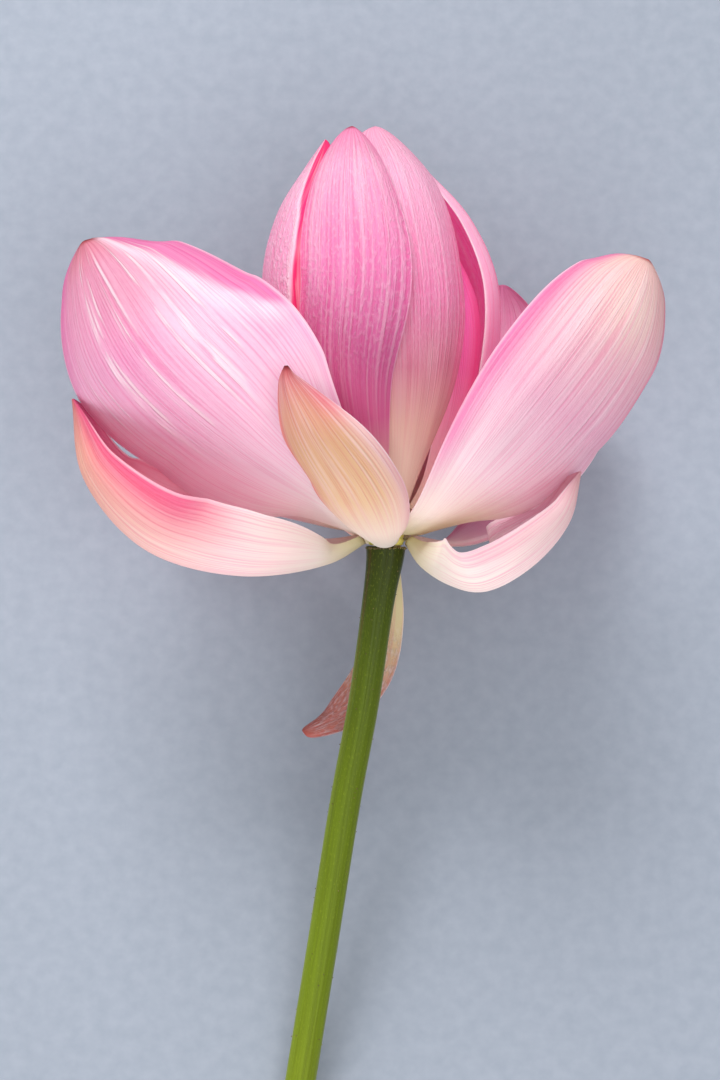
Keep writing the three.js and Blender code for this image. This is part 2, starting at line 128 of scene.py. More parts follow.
# Each petal: its midrib, the azimuth that it faces, its half width, the foot's share of that, half the
# angle of its cup at foot, middle and tip, the u where it is widest, how blunt its end is, and a factor
# on the half width. A pair gives the left side, then the right one. The solids have the same values, but
# for small changes to outer_petal_right, lower_petal_right, centre_petal_left and inner_petal_right.
PETALS = {
    "outer_petal_left": dict(
        rib=rib_through(-58, 1.55, (-14.7, 10.8, 17), (-37, 26, 26), (-61, 47.5, 30), (-74.5, 70, 28),
                        (-78, 78.5, 26)),
        facing=-16, half=35, foot=0.12, cup=(-17, 50, 55), widest=(0.5, 0.58),
        blunt=(0.72, 0.42), side=(1, 1.07)),
    "outer_petal_right": dict(
        rib=rib_through(48, 1.8, (16.5, 10, 14), (36.5, 29, 23), (55.5, 52.5, 27), (64.5, 67, 25),
                        (67.5, 74, 23)),
        facing=22, half=26, foot=0.25, cup=(-10, 48, 50), widest=(0.6, 0.47),
        blunt=(0.42, 0.62), side=(0.82, 1.27)),
    "lower_petal_left": dict(
        rib=rib_through(-84, 0.6, (-15, -4, 0), (-38.5, -7, 8), (-63, 0, 13), (-78.5, 18, 13),
                        (-82, 38.5, 10)),
        facing=-87, roll=9, half=31, foot=0.13, cup=(55, 92, 75), widest=(0.4, 0.42),
        blunt=(0.78, 1), side=(1.04, 1.06)),
    "lower_petal_right": dict(
        rib=rib_through(92, 0.3, (9.5, -5, 2.2), (17, -9.6, 4.8), (26, -11, 8.2), (38, -4.6, 11),
                        (47.5, 6.5, 10), (51, 19.5, 6)),
        facing=87, roll=-12, half=21, foot=0.16, cup=(66, 78, 70),
        widest=(0.34, 0.45), side=(1.28, 1), blunt=(1.05, 0.6)),
    "front_sepal": dict(
        rib=rib_through(-4, 0, (-2.5, 3, 19), (-9, 14.5, 36), (-18.5, 29, 46), (-25, 42, 48),
                        (-25.5, 45.5, 48)),
        facing=-8, half=15.5, foot=0.25, cup=(50, 60, 60), widest=0.42, blunt=0.95,
        side=(1, 0.84)),
    "hanging_sepal": dict(
        rib=rib_through(165, 0.05, (0.4, -3.6, -10), (-1.2, -20, -13), (-4.2, -34, -14),
                        (-12.5, -44.5, -14), (-22, -50, -12)),
        facing=160, half=6, foot=0.38, cup=(30, 40, 40), widest=0.5, blunt=0.4),
    "back_sepal": dict(
        rib=spread_rib(184, 1.15, (18, 0.5), (32, 6), (42, 18), (45, 28)),
        facing=182, half=13, foot=0.25, cup=(50, 40, 50), widest=0.5),
    "side_back_petal_left": dict(
        rib=spread_rib(-119, 2, (20, 6), (48, 14), (66, 34), (73, 52), (72, 60)),
        facing=-112, half=21, foot=0.11, cup=(42, 48, 55)),
    "side_back_petal_right": dict(
        rib=spread_rib(122, 1.2, (22, 1), (46, 10.2), (62, 31), (68, 46), (67, 54)),
        facing=117, half=20, foot=0.13, cup=(-38, 50, 55), widest=0.5),
    "back_petal_left": dict(
        rib=spread_rib(-160, 2.7, (18, 12.5), (41, 33), (56, 53), (62, 70), (61, 79)),
        facing=-152, half=26, foot=0.12, cup=(50, 45, 50)),
    "back_petal_right": dict(
        rib=spread_rib(150.5, 2.28, (22, 8.5), (46, 26), (60.2, 47), (66.4, 64), (67.2, 73)),
        facing=155, half=25, foot=0.11, cup=(50, 45, 50)),
    "centre_petal_left": dict(
        rib=rib_through(-6, 3.15, (-4, 14.5, 15.5), (-10.5, 43, 27), (-9, 71, 31), (-9.5, 96, 20),
                        (-9, 109.5, 12)),
        facing=-12, half=15.4, foot=0.14, cup=(45, 36, 45), widest=0.62, blunt=(0.5, 0.68)),
    "centre_petal_right": dict(
        rib=rib_through(26, 4.3, (4, 14.5, 12.5), (7.5, 43, 23), (7, 71, 26), (2, 97.5, 15),
                        (-3, 110, 7)),
        facing=20, half=23.5, foot=0.1, cup=(45, 34, 50), widest=0.58,
        blunt=(0.48, 0.48), side=(0.84, 0.7)),
    "inner_petal_left": dict(
        rib=bud_rib(-72, 3, 3.2, 107),
        facing=-68, half=21, foot=0.14, cup=(45, 42, 50)),
    "inner_petal_right": dict(
        rib=bud_rib(88, 3.4, 0, 104.5),
        facing=94, half=18, foot=0.14, cup=(45, 38, 50), widest=(0.5, 0.6),
        blunt=(1.5, 0.75), side=(0.76, 1)),
    "inner_petal_back_left": dict(
        rib=bud_rib(-130, 4.25, 5.2, 98, 6),
        facing=-130, half=20.5, foot=0.12),
    "inner_petal_back_right": dict(
        rib=bud_rib(141, 3.8, 4.4, 96),
        facing=141, half=19, foot=0.13, cup=(45, 46, 50), side=(0.72, 1)),
    "core_petal_left": dict(
        rib=bud_rib(-34, 5, 8, 103),
        facing=-40, half=17, foot=0.11),
    "core_petal_right": dict(
        rib=bud_rib(78, 5, 5.3, 95),
        facing=78, half=18.6, foot=0.12, cup=(50, 62, 55), side=(1, 0.5)),
    "core_petal_back": dict(
        rib=bud_rib(187, 4.8, 9.3, 94),
        facing=187, half=15.5, foot=0.12),
}


# ---- colour ----
def linear(colour):
    """Linear colour from the red, green and blue of a colour picker, 0 to 255."""
    encoded = np.array(colour) / 255
    return np.where(encoded > 0.04045, ((encoded + 0.055) / 1.055) ** 2.4, encoded / 12.92)


def smooth(low, high, x):
    t = np.clip((x - low) / (high - low), 0, 1)
    return t * t * (3 - 2 * t)


def blend(colour, other, weight):
    return colour + (other - colour) * np.asarray(weight)[..., None]


def rim(colour, reach, strength, start=0.15, end=1.2):
    """Colour that fades in towards one margin over `reach` of the half width, between two u values."""
    return linear(colour), reach, strength, start, end


def spot(u, v, size_u, size_v, colour, strength):
    """Soft patch centred on (u, v)."""
    return u, v, size_u, size_v, linear(colour), strength


def shaded_fold(line, colour, strength, soft, crest, width):
    """Deeper colour beyond a line of (u, v) points that bounds a rolled margin, painted as its shade, and a
    pale crest along it, painted as a highlight.
    """
    return line, linear(colour), strength, soft, linear(crest), width


def line_side(line, u, v):
    """How far v lies beyond a line of (u, v) points, and where along u the line exists."""
    places = [point[0] for point in line]
    side = v - np.interp(u, places, [point[1] for point in line])
    return side, smooth(places[0] - 0.02, places[0] + 0.08, u)


def ramp(stops, u):
    """Colours between the stops of a list of (u, colour) pairs."""
    places = [place for place, _ in stops]
    colours = [linear(colour) for _, colour in stops]
    return np.stack([np.interp(u, places, [colour[k] for colour in colours]) for k in range(3)], -1)


def paint(look, u, v):
    """Colour of one skin of a petal over a grid of u and v."""
    tone = ramp(look["along"], u)
    for side, edge in ((-1, look.get("left")), (1, look.get("right"))):
        if edge:
            colour, reach, strength, start, end = edge
            inside = smooth(start - 0.12, start + 0.12, u) * (1 - smooth(end - 0.12, end + 0.12, u))
            tone = blend(tone, colour, strength * inside * smooth(1 - reach, 1, side * v))
    for line, colour, strength, soft, crest, width in look.get("shaded_folds", ()):
        side, there = line_side(line, u, v)
        # painted highlight along the crest
        tone = blend(tone, crest, 0.9 * there * np.exp(-((side + 0.8 * width) / width) ** 2))
        # painted shade beyond the line
        tone = blend(tone, colour, strength * there * smooth(-soft / 2, soft, side))
    for at_u, at_v, size_u, size_v, colour, strength in look.get("spots", ()):
        distance = np.hypot((u - at_u) / size_u, (v - at_v) / size_v)
        tone = blend(tone, colour, strength * np.exp(-distance ** 2))
    # pale line along the margins: partly the thin edge's own paleness, partly a painted highlight
    margin = smooth(0.962, 0.982, np.abs(v)) * smooth(0.05, 0.2, u) * (1 - smooth(0.9, 0.96, u))
    tone = blend(tone, linear(PALE_EDGE_AND_HIGHLIGHT), look.get("margin", 0.45) * margin)
    if "tip" in look:
        colour, reach = look["tip"]
        tone = blend(tone, linear(colour), smooth(1 - reach, 1, u) ** 1.5)
    return tone


CREAM = (247, 238, 226)
GREEN_CREAM = (218, 209, 160)
BLUSH = (248, 212, 226)
ROSE = (230, 100, 160)
HOT_PINK = (252, 62, 150)
PEACH = (246, 196, 150)
DARK_RED = (128, 14, 34)
# colour of the pale margin line: partly the edge's own colour, partly a painted highlight
PALE_EDGE_AND_HIGHLIGHT = (255, 244, 246)

INSIDE = dict(along=[(0, CREAM), (0.3, BLUSH), (0.7, (247, 178, 208)), (1, (238, 140, 186))],
              left=rim(ROSE, 0.3, 0.5), right=rim(ROSE, 0.3, 0.5))
BACK = dict(along=[(0, GREEN_CREAM), (0.12, CREAM), (0.35, (251, 226, 236)), (0.7, (248, 196, 220)),
                   (1, (246, 170, 206))],
            left=rim(ROSE, 0.3, 0.5, 0.3), right=rim(ROSE, 0.3, 0.5, 0.3))
BUD = dict(along=[(0, (222, 190, 160)), (0.2, (235, 150, 185)), (0.6, (244, 162, 205)),
                  (0.9, (249, 182, 214)), (1, ROSE)],
           left=rim(HOT_PINK, 0.2, 0.5), right=rim(HOT_PINK, 0.2, 0.5))
# Painted glow: paler than the core petals' own hot pink, so that they read lit in the bud's deep gaps.
VIVID_PAINTED_GLOW = dict(along=[(0, (252, 236, 220)), (0.2, (253, 200, 214)), (0.42, (253, 136, 200)),
                    (0.7, (254, 124, 206)), (1, HOT_PINK)],
             detail=(0, 0.25, 0))
# Painted light: inner skins paler than their own pink, for the petals whose insides lie in the bud's shade.
LIT = dict(along=[(0, CREAM), (0.3, (254, 226, 230)), (0.5, (255, 196, 228)), (1, (255, 180, 232))])

# Each look: colours along the petal, rims at its margins, spots (some painted highlights, some painted
# shade), lines of rolled margins (shaded_folds) with painted shade beyond them and a painted highlight on
# their crest, the tip's colour and reach, how deep the first such margin rolls (roll_depth), the strength of
# the pale margin line (margin), partly the thin edge's own paleness and partly a painted highlight, and the
# strengths of the ridges, streaks and crinkles (detail), whose pale tints are painted highlights.
LOOKS = {
    "outer_petal_left": dict(
        along=[(0, (252, 246, 228)), (0.16, (255, 250, 246)), (0.3, (253, 230, 241)),
               (0.5, (248, 202, 226)), (0.72, (241, 174, 210)), (0.92, (236, 166, 194)),
               (1, (226, 136, 150))],
        left=rim((248, 104, 190), 0.48, 0.95, 0.62),
        right=rim((246, 170, 214), 0.12, 0.6, 0.2, 0.6),
        # spots: at u 0.72 a painted highlight below the rolled margin, at u 0.55 painted light on the
        # lower-left margin where it curls into shade
        spots=[spot(0.72, 0.42, 0.2, 0.24, (255, 238, 245), 0.7),
               spot(0.88, 0.1, 0.1, 0.3, (228, 160, 186), 0.6),
               spot(0.55, -0.85, 0.24, 0.34, (255, 246, 252), 0.8),
               spot(0.15, -0.7, 0.22, 0.6, (255, 250, 244), 0.8)],
        # painted shade on the rolled upper margin beyond the line, and a painted highlight on its crest
        shaded_folds=[shaded_fold([(0.5, 1.02), (0.6, 0.86), (0.68, 0.79), (0.78, 0.72), (0.88, 0.62), (0.98, 0.48)],
                    (236, 124, 186), 0.85, 0.06, (255, 240, 247), 0.1)],
        tip=((180, 70, 76), 0.012),
        roll_depth=0.9,
        detail=(1.0, 0.35, 0.12)),
    "outer_petal_right": dict(
        along=[(0, (228, 220, 176)), (0.12, (250, 246, 234)), (0.3, (252, 238, 242)),
               (0.55, (244, 202, 220)), (0.8, (248, 214, 218)), (1, (250, 220, 206))],
        left=rim((238, 122, 186), 0.42, 0.85, 0.25),
        right=rim((252, 134, 176), 0.16, 0.85, 0.6),
        spots=[spot(0.87, 0.15, 0.1, 0.45, (254, 242, 226), 0.85),
               # the greenish patch near the foot is painted shade
               spot(0.1, 0.6, 0.14, 0.5, (218, 210, 160), 0.7)],
        tip=((200, 90, 90), 0.012),
        detail=(0.3, 0.6, 0.1)),
    "lower_petal_left": dict(
        along=[(0, GREEN_CREAM), (0.15, (250, 243, 232)), (0.4, (254, 240, 234)), (0.65, (252, 222, 204)),
               (0.85, (251, 200, 172)), (1, (240, 140, 140))],
        # deep pink under the right rim: partly the petal's own pink, partly painted shade
        right=rim((234, 84, 142), 0.6, 0.9, 0.46),
        left=rim((250, 184, 192), 0.5, 0.6, 0.4),
        detail=(0.1, 0.4, 0.05)),
    "lower_petal_right": dict(
        along=[(0, (220, 211, 160)), (0.2, (250, 246, 232)), (0.5, (254, 248, 240)),
               (0.8, (254, 238, 232)), (1, (252, 205, 204))],
        left=rim((254, 216, 222), 0.4, 0.7, 0.4), right=rim((254, 216, 222), 0.4, 0.7, 0.4),
        detail=(0.1, 0.4, 0.05)),
    "front_sepal": dict(
        along=[(0, CREAM), (0.2, (248, 230, 212)), (0.42, (236, 202, 160)), (0.68, (222, 180, 138)),
               (0.86, (220, 160, 136)), (0.95, (220, 136, 134)), (1, (190, 60, 70))],
        left=rim((240, 140, 140), 0.35, 0.85, 0.3), right=rim((250, 214, 214), 0.5, 0.85),
        spots=[spot(0.85, 0.8, 0.1, 0.4, (236, 110, 130), 0.7)],
        tip=(DARK_RED, 0.025),
        detail=(0.2, 0.7, 0.0)),
    "hanging_sepal": dict(
        along=[(0, (214, 206, 150)), (0.3, (230, 218, 170)), (0.55, (226, 200, 156)),
               (0.75, (216, 140, 120)), (1, (186, 98, 86))],
        left=rim((196, 110, 96), 0.5, 0.7, 0.5), right=rim((238, 224, 184), 0.5, 0.6, 0, 0.5),
        detail=(0.3, 0.6, 0.7)),
    "back_sepal": dict(
        along=[(0, GREEN_CREAM), (0.3, (240, 222, 190)), (0.6, PEACH), (0.85, (226, 130, 110)),
               (1, DARK_RED)],
        left=rim((240, 150, 160), 0.3, 0.7), right=rim((240, 150, 160), 0.3, 0.7),
        detail=(0.2, 0.7, 0.0)),
    "centre_petal_left": dict(
        along=[(0, (250, 240, 225)), (0.1, (244, 200, 196)), (0.28, (220, 108, 158)),
               (0.45, (220, 108, 166)), (0.65, (238, 142, 194)), (0.9, (251, 186, 217)),
               (1, (240, 150, 190))],
        left=rim((255, 116, 184), 0.3, 0.8, 0.2),
        right=rim((230, 118, 176), 0.3, 0.4, 0.3),
        tip=((176, 24, 60), 0.01),
        margin=0.2,
        detail=(0.2, 0.75, 0.36)),
    "centre_petal_right": dict(
        # the dull, darker stop at u 0.38 is painted shade
        along=[(0, (250, 244, 222)), (0.1, (252, 240, 218)), (0.24, (240, 204, 188)),
               (0.38, (222, 142, 164)), (0.55, (249, 156, 202)), (0.85, (254, 202, 228)),
               (1, (252, 190, 214))],
        right=rim((253, 120, 182), 0.35, 0.7, 0.34, 0.8),
        margin=0.15,
        # a painted highlight on a wrinkle
        spots=[spot(0.4, 0.25, 0.05, 0.14, (252, 226, 226), 0.3)],
        detail=(0.1, 0.55, 0.3)),
    "inner_petal_left": dict(
        along=[(0, (240, 200, 190)), (0.3, (242, 150, 198)), (0.6, (249, 186, 220)),
               (0.9, (251, 202, 226)), (1, (248, 180, 210))],
        # deep magenta beyond the line is painted shade between this petal's rim and the next petal; the pale
        # line along it is a painted highlight on the rim
        shaded_folds=[shaded_fold([(0.3, 0.36), (0.5, 0.42), (0.58, 0.5), (0.7, 0.54), (0.78, 0.5), (0.84, 0.4),
                     (0.95, 0.2)],
                    (244, 24, 120), 0.95, 0.03, (255, 236, 245), 0.045)],
        detail=(0.35, 0.5, 0.8)),
    "inner_petal_right": dict(
        along=[(0, (244, 210, 200)), (0.3, (255, 182, 222)), (0.6, (255, 200, 230)),
               (0.9, (255, 208, 232)), (1, (250, 90, 160))],
        right=rim((246, 90, 160), 0.4, 0.6), left=rim((255, 232, 242), 0.14, 0.9, 0.3),
        spots=[spot(0.72, -0.27, 0.3, 0.06, (248, 70, 156), 0.5)],
        detail=(0.1, 0.6, 0.2)),
    "core_petal_left": VIVID_PAINTED_GLOW,
    "core_petal_right": VIVID_PAINTED_GLOW,
    "core_petal_back": BUD,
    "inner_petal_back_left": BUD,
    "inner_petal_back_right": BUD,
}
# Inner skins other than INSIDE. Those of the lower petals and inner_petal_right are painted paler than their
# own colour: painted light where these skins lie in shade.
INSIDE_LOOKS = {
    "lower_petal_left": dict(
        along=[(0, CREAM), (0.3, (254, 228, 236)), (0.7, (255, 186, 208)), (1, ROSE)], margin=0.8),
    "lower_petal_right": dict(
        along=[(0, CREAM), (0.3, (255, 244, 248)), (0.7, (255, 228, 238)), (1, (254, 200, 214))], margin=0.8),
    "inner_petal_right": dict(
        along=[(0, CREAM), (0.25, (254, 176, 214)), (0.5, (255, 128, 198)), (1, (255, 124, 194))],
        margin=0.8),
    "inner_petal_left": LIT,
    "centre_petal_left": LIT,
    "centre_petal_right": LIT,
}
FINE = {"outer_petal_left", "outer_petal_right", "lower_petal_left", "lower_petal_right", "front_sepal",
        "hanging_sepal", "centre_petal_left", "centre_petal_right", "inner_petal_left"}
SEPALS = {"front_sepal", "hanging_sepal", "back_sepal"}
BUD_PETALS = {"inner_petal_left", "inner_petal_right", "core_petal_left", "core_petal_right",
              "core_petal_back"}


# ---- places ----
def flower_base():
    """Where the flower's own origin lies in the row frame, read off the receptacle's lowest ring."""
    low, high = (np.array(corner) * 1000 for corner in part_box("receptacle"))
    lean = math.radians(LEAN)
    ring_front = SEAT_LIFT * math.cos(lean) - (SEAT_RADIUS - SCAR_INSET) * math.sin(lean)
    return np.array([(low[0] + high[0]) / 2, low[1] - ring_front, AXIS_HEIGHT])


BASE = flower_base()
LEANED = np.array(Matrix.Rotation(math.radians(LEAN), 3, "X"))


def to_row(points):
    """Points of the flower's own frame in mm as points of the row frame in metres."""
    return (np.asarray(points) @ LEANED.T + BASE) / 1000


def settle(points):
    """Presses what would sink into the ground softly flat against it."""
    ground_normal = LEANED[2]
    height = points @ ground_normal + AXIS_HEIGHT
    pressed = (height + np.sqrt(height ** 2 + GROUND_SOFTNESS)) / 2
    return points + (pressed - height)[..., None] * ground_normal


# ---- petals ----
def unit(vectors):
    return vectors / np.linalg.norm(vectors, axis=-1, keepdims=True)


def curve(points, steps=120):
    """A function that gives places at shares of a smooth curve through the points, and its length.

    The curve is a centripetal Catmull-Rom spline.
    """
    points = np.array(points, float)
    ends = np.vstack([2 * points[0] - points[1], points, 2 * points[-1] - points[-2]])
    samples = [points[:1]]
    for a, b, c, d in zip(ends, ends[1:], ends[2:], ends[3:]):
        t1 = np.linalg.norm(b - a) ** 0.5
        t2 = t1 + np.linalg.norm(c - b) ** 0.5
        t3 = t2 + np.linalg.norm(d - c) ** 0.5
        t = np.linspace(t1, t2, steps + 1)[1:, None]
        ab = (t1 - t) / t1 * a + t / t1 * b
        bc = (t2 - t) / (t2 - t1) * b + (t - t1) / (t2 - t1) * c
        cd = (t3 - t) / (t3 - t2) * c + (t - t2) / (t3 - t2) * d
        abc = (t2 - t) / t2 * ab + t / t2 * bc
        bcd = (t3 - t) / (t3 - t1) * bc + (t - t1) / (t3 - t1) * cd
        samples.append((t2 - t) / (t2 - t1) * abc + (t - t1) / (t2 - t1) * bcd)
    samples = np.vstack(samples)
    lengths = np.concatenate([[0], np.cumsum(np.linalg.norm(np.diff(samples, axis=0), axis=1))])

    def at(share):
        return np.stack([np.interp(share * lengths[-1], lengths, samples[:, k]) for k in range(3)], -1)

    return at, lengths[-1]


def both(value):
    return value if isinstance(value, tuple) else (value, value)


def width_share(u, widest, foot, blunt):
    """Share of the greatest half width: a narrow foot, a swelling, then a rounded or pointed end."""
    rise = foot + (1 - foot) * np.sin(np.pi / 2 * np.clip(u / widest, 0, 1)) ** 1.3
    rest = np.clip((u - widest) / (1 - widest), 0, 1)
    return np.where(u < widest, rise, (1 - rest ** 2.2) ** blunt)


def petal_surface(petal, u, v):
    """Middle surface of a petal and its outward normals, as arrays over u and v, and its length."""
    at, length = curve(petal["rib"])
    rib = at(u)
    along = unit(at(np.clip(u + 0.012, 0, 1)) - at(np.clip(u - 0.012, 0, 1)))
    foot_facing = math.degrees(math.atan2(petal["rib"][0][0], petal["rib"][0][2]))
    foot_turn = (foot_facing - petal["facing"] + 540) % 360 - 180
    azimuth = np.radians(petal["facing"] + foot_turn * np.maximum(0, 1 - u / FOOT_SHARE) ** 2)
    level = np.stack([np.cos(azimuth), np.zeros_like(u), -np.sin(azimuth)], -1)
    across = unit(level - (level * along).sum(-1, keepdims=True) * along)
    out = np.cross(across, along)
    roll = np.radians(petal.get("roll", 0)) * np.sin(np.pi / 2 * np.minimum(1, u * 2))[:, None]
    across, out = across * np.cos(roll) + out * np.sin(roll), out * np.cos(roll) - across * np.sin(roll)

    swelling = np.sqrt(np.maximum(0, np.sin(np.pi * u)))
    widths = [
        (petal["half"] * width_share(u, widest, petal["foot"], blunt) + LEAST_HALF_WIDTH)
        * (1 + (side - 1) * swelling)
        for widest, blunt, side in zip(
            both(petal.get("widest", 0.6)), both(petal.get("blunt", 0.75)), both(petal.get("side", 1)))
    ]
    width = np.where(v[None, :] < 0, widths[0][:, None], widths[1][:, None])
    bend = np.radians(np.interp(u, [0, 0.5, 1], petal.get("cup", (45, 48, 50))))[:, None]
    angle = bend * np.abs(v)[None, :]
    sideways = (np.sign(v)[None, :] * width * np.sin(angle) / bend)[..., None]
    inwards = (width * (1 - np.cos(angle)) / bend)[..., None]
    point = rib[:, None] + across[:, None] * sideways - out[:, None] * inwards
    turned = (np.sign(v)[None, :] * np.sin(angle))[..., None]
    normal = out[:, None] * np.cos(angle)[..., None] + across[:, None] * turned
    return point, normal, length


def relief(look, u, v, chance):
    """Height of lengthwise pleats, of the margin's slow waves and of a rolled margin, in mm."""
    u, v = u[:, None], v[None, :]
    pleats = 0
    for _ in range(PLEATS):
        strength = 0.4 * math.sin(chance.uniform(0, ANY_PHASE))
        phase = v * chance.uniform(5, 16) + chance.uniform(0, ANY_PHASE) + 0.7 * u
        pleats = pleats + strength * np.sin(phase)
    belly = np.sin(np.pi * np.clip(u, 0, 1)) ** 0.7
    waves = np.sin(u * chance.uniform(9, 14) + chance.uniform(0, ANY_PHASE) + np.sign(v)) * np.abs(v) ** 5
    height = PLEAT_HEIGHT * pleats * belly + WAVE_HEIGHT * waves * np.sin(np.pi * u)
    if "roll_depth" in look:
        side, there = line_side(look["shaded_folds"][0][0], u, v)
        crest = 0.25 * np.exp(-((side + 0.05) / 0.09) ** 2)
        height = height + there * look["roll_depth"] * (crest - np.maximum(0, side) / 0.3)
    return height


def surface_detail(look, u, v):
    """How strong the long ridges, the streaks and the crinkles are at each place of a petal; their pale tints
    are painted highlights.
    """
    ridges, streaks, crinkles = look.get("detail", (0.15, 0.5, 0.1))
    inner = 1 - smooth(0.55, 0.85, np.abs(v))
    if "shaded_folds" in look:
        side, there = line_side(look["shaded_folds"][0][0], u, v)
        crinkles = crinkles * (1 - there * smooth(-0.06, 0, side))
    return np.stack([
        ridges * smooth(0.35, 0.6, u) * (1 - smooth(0.93, 1, u)) * inner,
        streaks * smooth(0.1, 0.55, u) * (1 - smooth(0.92, 1, u)),
        crinkles * smooth(0.3, 0.55, u) * (1 - smooth(0.93, 1, u)),
    ], -1)


def petal_mesh(name, petal):
    """One petal as a closed body with a painted outer and inner skin."""
    look = LOOKS.get(name, BACK)
    rows, columns = (FINE_ROWS, FINE_COLUMNS) if name in FINE else (PLAIN_ROWS, PLAIN_COLUMNS)
    # rows are closer towards the tip, and columns closer towards the margins
    u = 1 - (1 - np.linspace(0, 1, rows + 1)) ** 1.35
    reach = 0.94 * math.pi / 2
    v = np.sin(np.linspace(-reach, reach, columns + 1)) / math.sin(reach)
    point, normal, length = petal_surface(petal, u, v)
    point = point + normal * relief(look, u, v, random.Random(name))[..., None]

    rib_thickness = BLADE_THICKNESS + (FOOT_THICKNESS - BLADE_THICKNESS) * (1 - u[:, None]) ** 3
    thickness = EDGE_THICKNESS + (rib_thickness - EDGE_THICKNESS) * (1 - v[None, :] ** 4)
    outer = settle(point + normal * thickness[..., None] / 2)
    inner = settle(point - normal * thickness[..., None] / 2)
    vertices = np.concatenate([outer.reshape(-1, 3), inner.reshape(-1, 3)])

    count = columns + 1
    offset = (rows + 1) * count
    start = (np.arange(rows)[:, None] * count + np.arange(columns)[None, :]).reshape(-1)
    skin = np.stack([start, start + 1, start + 1 + count, start + count], 1)
    border = np.concatenate([
        np.arange(columns), np.arange(rows) * count + columns,
        rows * count + np.arange(columns, 0, -1), np.arange(rows, 0, -1) * count,
    ])
    after = np.roll(border, -1)
    edge = np.stack([border, border + offset, after + offset, after], 1)
    faces = np.concatenate([skin, skin[:, ::-1] + offset, edge])

    grid_u, grid_v = np.meshgrid(u, v, indexing="ij")
    outside = paint(look, grid_u, grid_v)
    inside = paint(INSIDE_LOOKS.get(name, INSIDE), grid_u, grid_v)
    tone = np.concatenate([outside.reshape(-1, 3), inside.reshape(-1, 3)])
    detail = surface_detail(look, grid_u, grid_v)
    flat = np.stack([grid_v * petal["half"], grid_u * length], -1).reshape(-1, 2) / MM_PER_CM
    coordinates = np.concatenate([flat, flat + INSIDE_SHIFT])
    kind = "sepal" if name in SEPALS else "petal"
    material = "bud" if name in BUD_PETALS else kind
    piece = mesh_piece(f"{name}_skin", vertices, faces, [material], [name])
    add_colour(piece, tone, np.tile(0.25 + 0.75 * smooth(0.12, 0.5, grid_u), (2, 1)))
    add_vector(piece, "detail", np.tile(detail.reshape(-1, 3), (2, 1)))
    add_coordinates(piece, coordinates)
    return piece


# ---- mesh helpers ----
def add_object(name, data):
    item = bpy.data.objects.new(name, data)
    bpy.context.scene.collection.objects.link(item)
    return item


def mesh_piece(name, vertices, faces, materials, nodes):
    """A smooth mesh, in mm of the flower's frame, that stands for CAD nodes and rides on the root body."""
    mesh = bpy.data.meshes.new(name)
    mesh.from_pydata(to_row(vertices).tolist(), [], [list(map(int, face)) for face in faces])
    mesh.update()
    mesh.polygons.foreach_set("use_smooth", [True] * len(mesh.polygons))
    for material in materials:
        mesh.materials.append(MATERIALS[material])
    piece = add_object(name, mesh)
    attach(piece, "root")
    if nodes:
        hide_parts(*nodes)
    return piece


def add_colour(piece, tone, strength=None):
    """Painted tone of each vertex; its alpha says how strongly the veins show there."""
    layer = piece.data.attributes.new("tone", "FLOAT_COLOR", "POINT")
    alpha = np.ones((len(tone), 1)) if strength is None else strength.reshape(-1, 1)
    rgba = np.concatenate([tone, alpha], 1)
    layer.data.foreach_set("color", rgba.reshape(-1))


def add_vector(piece, name, values):
    layer = piece.data.attributes.new(name, "FLOAT_VECTOR", "POINT")
    layer.data.foreach_set("vector", values.reshape(-1))


def add_coordinates(piece, coordinates):
    layer = piece.data.uv_layers.new(name="surface")
    corners = np.empty(len(piece.data.loops), int)
    piece.data.loops.foreach_get("vertex_index", corners)
    layer.data.foreach_set("uv", coordinates[corners].reshape(-1))


